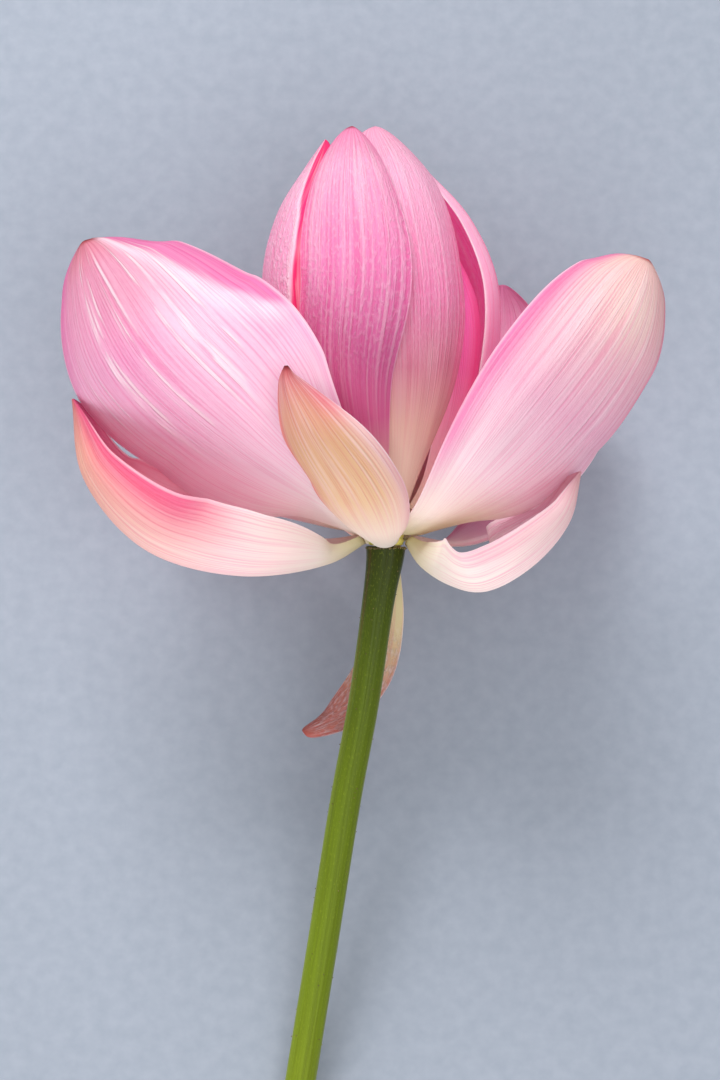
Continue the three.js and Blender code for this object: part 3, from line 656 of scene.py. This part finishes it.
# ---- materials ----
class Nodes:
    """Short names for building one material's node tree."""

    def __init__(self, name):
        self.material = bpy.data.materials.new(name)
        self.material.use_nodes = True
        self.tree = self.material.node_tree
        self.tree.nodes.clear()
        self.output = self.tree.nodes.new("ShaderNodeOutputMaterial")

    def add(self, kind, inputs=None, **settings):
        node = self.tree.nodes.new(f"ShaderNode{kind}")
        for key, value in settings.items():
            setattr(node, key, value)
        for key, value in (inputs or {}).items():
            node.inputs[key].default_value = value
        return node

    def link(self, source, target):
        self.tree.links.new(source, target)

    def attribute(self, name):
        return self.add("Attribute", attribute_name=name)

    def noise(self, coordinates, across, along, detail=2.0):
        """Noise in surface coordinates, with cycles per cm across and along."""
        mapping = self.add("Mapping", {"Scale": (across, along, 1)})
        self.link(coordinates, mapping.inputs["Vector"])
        settings = {"Scale": 1, "Detail": detail, "Roughness": 0.55}
        noise = self.add("TexNoise", settings, noise_dimensions="2D")
        self.link(mapping.outputs["Vector"], noise.inputs["Vector"])
        return noise.outputs["Fac"]

    def speckles(self, scale, detail=2.0):
        """Noise in object coordinates, with cycles per metre."""
        noise = self.add("TexNoise", {"Scale": scale, "Detail": detail})
        self.link(self.add("TexCoord").outputs["Object"], noise.inputs["Vector"])
        return noise.outputs["Fac"]

    def spread(self, value, low, high):
        """Maps low..high of a value to 0..1, clamped."""
        node = self.add("MapRange", {"From Min": low, "From Max": high})
        self.link(value, node.inputs["Value"])
        return node.outputs["Result"]

    def maths(self, operation, first, second):
        node = self.add("Math", operation=operation)
        for socket, value in zip(node.inputs, (first, second)):
            if isinstance(value, (int, float)):
                socket.default_value = value
            else:
                self.link(value, socket)
        return node.outputs[0]

    def times(self, first, second):
        return self.maths("MULTIPLY", first, second)

    def plus(self, first, second):
        return self.maths("ADD", first, second)

    def mix(self, factor, first, second, mode="MIX"):
        node = self.add("MixRGB", blend_type=mode)
        for socket, value in zip(node.inputs, (factor, first, second)):
            if isinstance(value, (int, float)):
                socket.default_value = value
            elif isinstance(value, tuple):
                socket.default_value = (*linear(value), 1)
            else:
                self.link(value, socket)
        return node.outputs["Color"]

    def bump(self, height, strength, distance):
        node = self.add("Bump", {"Strength": strength, "Distance": distance})
        self.link(height, node.inputs["Height"])
        return node.outputs["Normal"]

    def skin(self, colour, inputs):
        """Principled surface shader of a colour."""
        shader = self.add("BsdfPrincipled", inputs)
        self.link(colour, shader.inputs["Base Color"])
        return shader

    def finish(self, shader):
        """The material, once its last shader is known."""
        self.link(shader.outputs[0], self.output.inputs["Surface"])
        return self.material


def petal_material(name, vein_depth, glow, roughness, painted_glow=0.0):
    """Satin petal skin: painted tone, veins, streaks, ridges and crinkles with painted highlights, painted
    shade in the crinkles' dips, light coming through, and a painted glow where one is set.
    """
    nodes = Nodes(name)
    surface = nodes.add("UVMap", uv_map="surface").outputs["UV"]
    paint_node = nodes.attribute("tone")
    tone = paint_node.outputs["Color"]
    split = nodes.add("SeparateXYZ")
    nodes.link(nodes.attribute("detail").outputs["Vector"], split.inputs[0])
    ridge_share, streak_share, crinkle_share = split.outputs
    veins = nodes.spread(nodes.noise(surface, 17, 0.2), 0.48, 0.66)
    veins = nodes.times(veins, paint_node.outputs["Alpha"])
    streaks = nodes.times(nodes.spread(nodes.noise(surface, 8, 0.16), 0.5, 0.68), streak_share)
    gaps = nodes.spread(nodes.noise(surface, 2.2, 0.7, 1), 0.4, 0.56)
    ridge = nodes.times(nodes.spread(nodes.noise(surface, 5.5, 0.07, 1), 0.58, 0.66), gaps)
    ridge = nodes.times(ridge, ridge_share)
    crumple = nodes.noise(surface, 13, 5, 3)
    shaded_hollows = nodes.times(nodes.spread(crumple, 0.5, 0.34), crinkle_share)
    crinkles = nodes.times(nodes.spread(crumple, 0.46, 0.66), crinkle_share)
    grain = nodes.noise(surface, 40, 30, 1)

    # Painted highlights on the streaks, crinkles and ridges, and painted shade in the crinkles' dips.
    pale = nodes.mix(0.75, tone, (255, 240, 247))
    vein_tint = nodes.mix(1.0, tone, (246, 196, 220), "MULTIPLY")
    colour = nodes.mix(nodes.times(veins, vein_depth), tone, vein_tint)
    colour = nodes.mix(nodes.times(streaks, 0.45), colour, pale)
    colour = nodes.mix(nodes.times(crinkles, 0.6), colour, pale)
    colour = nodes.mix(nodes.times(shaded_hollows, 0.4), colour, vein_tint)
    colour = nodes.mix(nodes.times(ridge, 0.7), colour, (255, 244, 246))
    height = nodes.times(veins, -0.3)
    for relief_part, share in ((ridge, 1.2), (streaks, 0.6), (crinkles, 1.7), (grain, 0.2)):
        height = nodes.plus(height, nodes.times(relief_part, share))

    # painted glow: emission in the petal's own colour, which only the bud's petals have
    skin = nodes.skin(colour, {"Roughness": roughness, "Specular IOR Level": 0.24, "Sheen Weight": 0.12,
                               "Sheen Roughness": 0.5, "Emission Strength": painted_glow})
    nodes.link(colour, skin.inputs["Emission Color"])
    nodes.link(nodes.bump(height, 0.85, 0.0003), skin.inputs["Normal"])
    through = nodes.add("BsdfTranslucent")
    nodes.link(nodes.mix(0.2, colour, colour, "MULTIPLY"), through.inputs["Color"])
    both_ways = nodes.add("MixShader", {"Fac": glow})
    nodes.link(skin.outputs[0], both_ways.inputs[1])
    nodes.link(through.outputs[0], both_ways.inputs[2])
    return nodes.finish(both_ways)


def stalk_material(name):
    """Waxy stalk skin: painted tone with fine lengthwise streaks and pale flecks."""
    nodes = Nodes(name)
    surface = nodes.add("UVMap", uv_map="surface").outputs["UV"]
    tone = nodes.attribute("tone").outputs["Color"]
    streaks = nodes.spread(nodes.noise(surface, 14, 0.35, 3), 0.36, 0.66)
    flecks = nodes.spread(nodes.noise(surface, 30, 9), 0.6, 0.72)
    dark = nodes.mix(1.0, tone, (196, 190, 150), "MULTIPLY")
    colour = nodes.mix(nodes.times(streaks, 0.35), tone, dark)
    colour = nodes.mix(nodes.times(flecks, 0.16), colour, (150, 166, 40))
    height = nodes.plus(streaks, nodes.times(flecks, 0.6))
    skin = nodes.skin(colour, {"Roughness": 0.45, "Specular IOR Level": 0.16, "Sheen Weight": 0.1,
                               "Sheen Roughness": 0.35})
    nodes.link(nodes.bump(height, 0.4, 0.0001), skin.inputs["Normal"])
    return nodes.finish(skin)


def speckled_material(name, colour, speckle, roughness, scale=900):
    """Plain matt flesh with fine speckles, in object coordinates."""
    nodes = Nodes(name)
    amount = nodes.spread(nodes.speckles(scale, 3), 0.38, 0.66)
    skin = nodes.skin(nodes.mix(amount, colour, speckle), {"Roughness": roughness})
    nodes.link(nodes.bump(amount, 0.4, 0.00012), skin.inputs["Normal"])
    return nodes.finish(skin)


MATERIALS = {
    "petal": petal_material("petal_satin", 0.6, 0.42, 0.58),
    # the bud's petals carry a painted glow
    "bud": petal_material("bud_satin", 0.5, 0.45, 0.6, 0.16),
    "sepal": petal_material("sepal_satin", 0.5, 0.3, 0.6),
    "stem": stalk_material("stem_skin"),
    "prickle": speckled_material("prickle_tip", (74, 52, 26), (120, 104, 50), 0.6),
    "cut": speckled_material("cut_flesh", (205, 208, 150), (170, 180, 110), 0.7),
    "receptacle": speckled_material("receptacle_flesh", (228, 216, 120), (196, 190, 84), 0.7, 700),
    "carpel": speckled_material("carpel_tip", (206, 190, 70), (150, 120, 40), 0.5),
    "filament": speckled_material("filament", (250, 240, 205), (244, 224, 160), 0.6),
    "anther": speckled_material("anther", (246, 200, 84), (222, 160, 50), 0.75, 1600),
}


# ---- stem ----
STEM_LINE = [
    (0, -0.25, 0), (-0.2, -3, 0), (-1.9, -14, -0.6), (-5.8, -41, -2.4),
    (-10.6, -67, -5), (-16.5, -104, -8.8), (-22.5, -141, -12), (-26.5, -166, -13.6),
]
STEM_RINGS, STEM_SIDES = 340, 72
# The stalk's green, darker at the top as painted shade under the petals.
STEM_GREEN_AND_SHADE = [(0, (42, 50, 2)), (0.12, (62, 76, 5)), (0.35, (84, 100, 9)),
              (0.7, (99, 116, 14)), (1, (110, 124, 18))]


def stem_frame(share):
    """Centre, tangent and two cross directions at shares of the stem's length, and that length."""
    at, length = curve(STEM_LINE)
    tangent = unit(at(np.clip(share + 0.01, 0, 1)) - at(np.clip(share - 0.01, 0, 1)))
    front = unit(np.array([0.0, 0.0, 1.0]) - tangent[:, 2:3] * tangent)
    side = np.cross(tangent, front)
    return at(share), tangent, front, side, length


def stem_radius(share, length):
    fade = np.exp(-((share * length / NECK_LENGTH) ** 1.3))
    return STEM_RADIUS + (NECK_RADIUS - STEM_RADIUS) * fade


def build_stem():
    chance = random.Random(SEED)
    share = np.linspace(0, 1, STEM_RINGS + 1) ** 1.15
    centre, _, front, side, length = stem_frame(share)
    angle = np.linspace(0, 2 * np.pi, STEM_SIDES, endpoint=False)
    wide_lobes = 0.012 * np.sin(5 * angle[None, :] + 2 * share[:, None])
    narrow_lobes = 0.008 * np.sin(11 * angle[None, :] + 1)
    radius = stem_radius(share, length)[:, None] * (1 + wide_lobes + narrow_lobes)
    rings = settle(centre[:, None] + front[:, None] * (radius * np.cos(angle))[..., None]
                   + side[:, None] * (radius * np.sin(angle))[..., None])
    count = STEM_SIDES
    start = np.arange(STEM_RINGS)[:, None] * count + np.arange(count)[None, :]
    following = np.arange(STEM_RINGS)[:, None] * count + (np.arange(count)[None, :] + 1) % count
    faces = np.stack([start, following, following + count, start + count], -1).reshape(-1, 4).tolist()
    faces.append(list(range(count))[::-1])
    faces.append([STEM_RINGS * count + i for i in range(count)])
    piece = mesh_piece("stem_stalk", rings.reshape(-1, 3), faces, ["stem", "cut"], ["stem"])
    piece.data.polygons[len(faces) - 1].material_index = 1
    paint_stem(piece, share[:, None], angle[None, :], length)
    cut_canals(piece)
    build_prickles(chance, length)
    build_scar_ring(chance)


def paint_stem(piece, share, angle, length):
    """Green, darker at the top as painted shade under the petals and lighter below, with a painted sheen on
    the flanks and a brown streak near the top.
    """
    tone = np.repeat(ramp(STEM_GREEN_AND_SHADE, share), angle.size, 1)
    streak = np.exp(-((angle - 0.95 - 0.1 * np.sin(9 * share)) / 0.1) ** 2)
    tone = blend(tone, linear((74, 44, 16)), 0.7 * streak * np.exp(-((share - 0.1) / 0.16) ** 2))
    # painted sheen: paler on the flanks that face sideways
    painted_flank_sheen = np.abs(np.sin(angle)) ** 7
    tone = blend(tone, linear((150, 166, 60)), 0.4 * painted_flank_sheen * smooth(0.03, 0.2, share))
    add_colour(piece, tone.reshape(-1, 3))
    grid = np.stack(np.broadcast_arrays(angle * STEM_RADIUS, share * length), -1)
    add_coordinates(piece, grid.reshape(-1, 2) / MM_PER_CM)


def cut_canals(stalk):
    """Opens the air canals in the cut end: two wide ones in the middle, smaller ones round them."""
    centre, tangent, front, side, _ = stem_frame(np.array([1.0]))
    canals = [(0, 0.9, 0.75), (math.pi, 0.9, 0.75)]
    canals += [((i + 0.5) / 6 * 2 * math.pi, 2.45, 0.48) for i in range(6)]
    count = CANAL_SIDES
    vertices, faces = [], []
    for angle, distance, radius in canals:
        middle = centre[0] + side[0] * distance * math.cos(angle) + front[0] * distance * math.sin(angle)
        first = len(vertices)
        for depth in (1.0, -CANAL_DEPTH):
            for i in range(count):
                turn = 2 * math.pi * i / count
                vertices.append(middle + tangent[0] * depth
                                + radius * (front[0] * math.cos(turn) + side[0] * math.sin(turn)))
        for i in range(count):
            following = (i + 1) % count
            faces.append([first + i, first + count + i, first + count + following, first + following])
        faces += [[first + i for i in range(count)], [first + 2 * count - 1 - i for i in range(count)]]
    mesh = bpy.data.meshes.new("canals")
    mesh.from_pydata(to_row(vertices).tolist(), [], faces)
    mesh.materials.append(MATERIALS["stem"])
    mesh.materials.append(MATERIALS["cut"])
    for polygon in mesh.polygons:
        polygon.material_index = 1       # the canals' walls show the cut flesh
    cutter = add_object("canals", mesh)
    modifier = stalk.modifiers.new("canals", "BOOLEAN")
    modifier.operation = "DIFFERENCE"
    modifier.solver = "EXACT"
    modifier.object = cutter
    bpy.context.view_layer.update()
    cut = bpy.data.meshes.new_from_object(stalk.evaluated_get(bpy.context.evaluated_depsgraph_get()))
    stalk.modifiers.clear()
    stalk.data = cut
    bpy.data.objects.remove(cutter)


def cone(centre, direction, radius, height, sides=7):
    """Vertices and faces of a small closed cone whose base is sunk under `centre`."""
    direction = direction / np.linalg.norm(direction)
    first = np.cross(direction, [0.3, 1.0, 0.2])
    first /= np.linalg.norm(first)
    second = np.cross(direction, first)
    turns = 2 * np.pi * np.arange(sides) / sides
    spokes = [radius * (first * math.cos(t) + second * math.sin(t)) for t in turns]
    base = [centre - direction * 0.35 + spoke for spoke in spokes]
    collar = [centre + direction * height * 0.45 + 0.55 * spoke for spoke in spokes]
    vertices = [*base, *collar, centre + direction * height]
    faces = [[i, (i + 1) % sides, sides + (i + 1) % sides, sides + i] for i in range(sides)]
    faces += [[sides + i, sides + (i + 1) % sides, 2 * sides] for i in range(sides)]
    faces.append(list(range(sides))[::-1])
    return vertices, faces


def join(parts):
    """One list of vertices and faces from several."""
    vertices, faces = [], []
    for more_vertices, more_faces in parts:
        offset = len(vertices)
        vertices += list(more_vertices)
        faces += [[index + offset for index in face] for face in more_faces]
    return np.array(vertices), faces


def build_prickles(chance, length):
    """Short blunt prickles scattered over the stalk."""
    parts = []
    for _ in range(PRICKLES):
        share = np.array([chance.uniform(0.03, 0.98)])
        turn = chance.uniform(0, 2 * math.pi)
        centre, _, front, side, _ = stem_frame(share)
        direction = front[0] * math.cos(turn) + side[0] * math.sin(turn)
        root = centre[0] + direction * stem_radius(share, length)[0]
        height = root @ LEANED[2] + AXIS_HEIGHT
        if height < PRICKLE_CLEARANCE or (settle(root[None])[0] - root) @ direction < -0.01:
            continue
        parts.append(cone(root, direction, chance.uniform(0.16, 0.3), chance.uniform(0.18, 0.42)))
    vertices, faces = join(parts)
    mesh_piece("stem_prickles", vertices, faces, ["prickle"], [])


def build_scar_ring(chance):
    """The ragged brown edge left on the stalk's top by fallen sepals."""
    parts = []
    for i in range(SCAR_SPIKES):
        azimuth = 360 * i / SCAR_SPIKES + chance.uniform(-3, 3)
        root = around(azimuth, NECK_RADIUS - 0.05, -0.55 + chance.uniform(-0.15, 0.1))
        direction = outward(azimuth) + np.array([0, chance.uniform(-0.9, 0.5), 0])
        parts.append(cone(root, direction, chance.uniform(0.3, 0.5), chance.uniform(0.2, 0.6), 6))
    vertices, faces = join(parts)
    mesh_piece("stem_scar", vertices, faces, ["prickle"], [])


# ---- receptacle and stamens ----
def lathe(profile, sides):
    """Closed body of revolution round the flower's axis; the profile starts and ends on the axis."""
    vertices = [around(0, 0, profile[0][1])]
    for radius, height in profile[1:-1]:
        vertices += [around(360 * i / sides, radius, height) for i in range(sides)]
    vertices.append(around(0, 0, profile[-1][1]))
    faces = []
    rings = len(profile) - 2
    for ring in range(rings - 1):
        a, b = 1 + ring * sides, 1 + (ring + 1) * sides
        faces += [[a + i, a + (i + 1) % sides, b + (i + 1) % sides, b + i] for i in range(sides)]
    last = len(vertices) - 1
    faces += [[0, 1 + (i + 1) % sides, 1 + i] for i in range(sides)]
    top = 1 + (rings - 1) * sides
    faces += [[last, top + i, top + (i + 1) % sides] for i in range(sides)]
    return vertices, faces


def build_receptacle():
    """A cone with a step for each ring of petals, a waist, and a flat disc that carries the carpels."""
    scars_top = SEAT_LIFT + SEAT_STEP * TOP_RING
    foot, shoulder = SEAT_RADIUS - SCAR_INSET, SEAT_RADIUS + SEAT_GROWTH * TOP_RING - SCAR_INSET
    profile = [(0, SEAT_LIFT), (foot - 0.2, SEAT_LIFT), (foot, SEAT_LIFT + 0.2)]
    for ring in range(1, TOP_RING + 1):
        radius = foot + (shoulder - foot) * ring / TOP_RING
        height = SEAT_LIFT + SEAT_STEP * ring
        profile += [(radius, height - 0.5), (radius - 0.35, height - 0.15)]
    profile += [(shoulder - 0.1, scars_top), (5.2, scars_top + 1.2), (4.9, scars_top + 2),
                (4.9, scars_top + 4), (5.2, 17), (5.6, 20), (6.6, 23), (7.8, 26)]
    profile += [(DISC_RADIUS - inset, DISC_HEIGHT - below)
                for inset, below in ((0.35, 2), (0, 1.1), (0.15, 0.4), (0.7, 0))]
    profile += [(4, DISC_HEIGHT + 0.2), (0, DISC_HEIGHT + 0.3)]
    vertices, faces = lathe(profile, 72)
    mesh_piece("receptacle_cone", vertices, faces, ["receptacle"], ["receptacle"])
    ball = lathe([(1.15 * math.sin(a), -1.15 * math.cos(a)) for a in np.linspace(0, math.pi, 12)], 18)
    stud = lathe([(0, 0.9), (0.36, 0.95), (0.42, 1.3), (0.3, 1.5), (0, 1.52)], 12)
    places = [(0, 0)]
    for count, radius in CARPEL_RINGS:
        places += [(360 * (i + 0.25) / count, radius) for i in range(count)]
    parts = []
    for azimuth, radius in places:
        shift = around(azimuth, radius, DISC_HEIGHT + 0.3)
        parts += [([point + shift for point in points], shape) for points, shape in (ball, stud)]
    vertices, faces = join(parts)
    mesh_piece("receptacle_carpels", vertices, faces, ["carpel"], [])


def tube(points, radii, sides):
    """Closed tube through the points."""
    points = np.array(points)
    tangent = unit(np.gradient(points, axis=0))
    first = unit(np.cross(tangent, [0.31, 0.17, 0.9]))
    second = np.cross(tangent, first)
    turns = 2 * np.pi * np.arange(sides) / sides
    vertices = []
    for centre, a, b, radius in zip(points, first, second, radii):
        vertices += [centre + radius * (a * math.cos(t) + b * math.sin(t)) for t in turns]
    faces = []
    for ring in range(len(points) - 1):
        start = ring * sides
        faces += [[start + i, start + (i + 1) % sides, start + sides + (i + 1) % sides, start + sides + i]
                  for i in range(sides)]
    faces += [list(range(sides))[::-1], [len(vertices) - sides + i for i in range(sides)]]
    return vertices, faces


def build_stamens():
    """Curved filaments in three rows, each with a long anther and a pale club at its end."""
    chance = random.Random(SEED + 1)
    collar = SEAT_LIFT + SEAT_STEP * TOP_RING + 1.7
    filaments, anthers = [], []
    for i in range(STAMENS):
        azimuth = 360 * i / STAMENS + chance.uniform(-1, 1)
        row = i % 3 / 2
        tall = 27 + 3 * chance.random() + 1.5 * row
        spread = 9.7 + 0.8 * row + 0.4 * chance.random()
        drift = chance.uniform(-5, 5)
        path = [(5.0, collar + 0.3, 0), (6.0, collar + 2, 0.1), (6.9 + 0.35 * row, 18.2, 0.4),
                (spread - 1.3, tall - 5, 0.8)]
        head = [(spread - 1.3, tall - 5, 0.8), (spread - 0.5, tall - 3.2, 0.9), (spread, tall - 1.4, 1),
                (spread + 0.4, tall + 0.8, 1)]
        club = [(spread + 0.4, tall + 0.7), (spread + 0.5, tall + 1.6), (spread + 0.5, tall + 2.4)]
        points = [around(azimuth + drift * turn, radius, height) for radius, height, turn in path]
        filaments.append(tube(points, [0.26, 0.22, 0.18, 0.14], 6))
        points = [around(azimuth + drift * turn, radius, height) for radius, height, turn in head]
        anthers.append(tube(points, [0.2, 0.42, 0.42, 0.22], 6))
        points = [around(azimuth + drift, radius, height) for radius, height in club]
        filaments.append(tube(points, [0.14, 0.26, 0.1], 6))
    vertices, faces = join(filaments)
    mesh_piece("stamen_filaments", vertices, faces, ["filament"], ["stamens"])
    vertices, faces = join(anthers)
    mesh_piece("stamen_anthers", vertices, faces, ["anther"], [])


# ---- studio ----
VIEW_DISTANCE = 1000                      # mm from the flower's base plane to the lens
VIEW_CENTRE = (-6.877, 1.587)             # where the lens axis meets that plane
VIEW_HEIGHT = 285.66                      # mm of that plane that the picture's long side covers


def build_camera():
    camera = bpy.data.cameras.new("camera")
    camera.sensor_width = 36
    camera.lens = 36 * VIEW_DISTANCE / VIEW_HEIGHT
    camera.clip_end = 20
    viewer = add_object("camera", camera)
    place = to_row(np.array([*VIEW_CENTRE, VIEW_DISTANCE]))
    viewer.matrix_world = Matrix.Translation(Vector(place)) @ Matrix.Rotation(math.radians(LEAN), 4, "X")
    bpy.context.scene.camera = viewer


def build_floor():
    half = 3                             # metres from the middle to each side
    nodes = Nodes("pale_floor")
    amount = nodes.spread(nodes.speckles(260), 0.3, 0.7)
    colour = nodes.mix(amount, (140, 147, 158), (147, 153, 164))
    material = nodes.finish(nodes.skin(colour, {"Roughness": 0.9, "Specular IOR Level": 0.1}))
    corners = [(-half, -half, 0), (half, -half, 0), (half, half, 0), (-half, half, 0)]
    mesh = bpy.data.meshes.new("floor")
    mesh.from_pydata(corners, [], [(0, 1, 2, 3)])
    mesh.materials.append(material)
    floor = add_object("floor", mesh)


def area_light(name, place, power, size):
    """A square soft light at a place of the row frame, in metres, that looks at the flower."""
    light = bpy.data.lights.new(name, "AREA")
    light.energy = power
    light.size = size
    lamp = add_object(name, light)
    flower = Vector((0, 0.06, 0.05))
    place = Vector(place)
    turn = (flower - place).to_track_quat("-Z", "Y")
    lamp.matrix_world = Matrix.Translation(place) @ turn.to_matrix().to_4x4()


def build_lights():
    area_light("key", (-0.25, 0.85, 0.75), 12, 0.5)
    area_light("front", (0.3, -0.5, 1.3), 9.5, 1.0)
    area_light("low", (-0.5, -0.8, 0.35), 6, 0.8)
    world = bpy.data.worlds.new("studio")
    world.use_nodes = True
    background = world.node_tree.nodes["Background"]
    background.inputs["Color"].default_value = (0.93, 0.96, 1, 1)
    background.inputs["Strength"].default_value = 0.62
    bpy.context.scene.world = world
    bpy.context.scene.view_settings.view_transform = "Standard"


build_camera()
build_floor()
build_lights()
for petal_name, petal_shape in PETALS.items():
    petal_mesh(petal_name, petal_shape)
build_stem()
build_receptacle()
build_stamens()
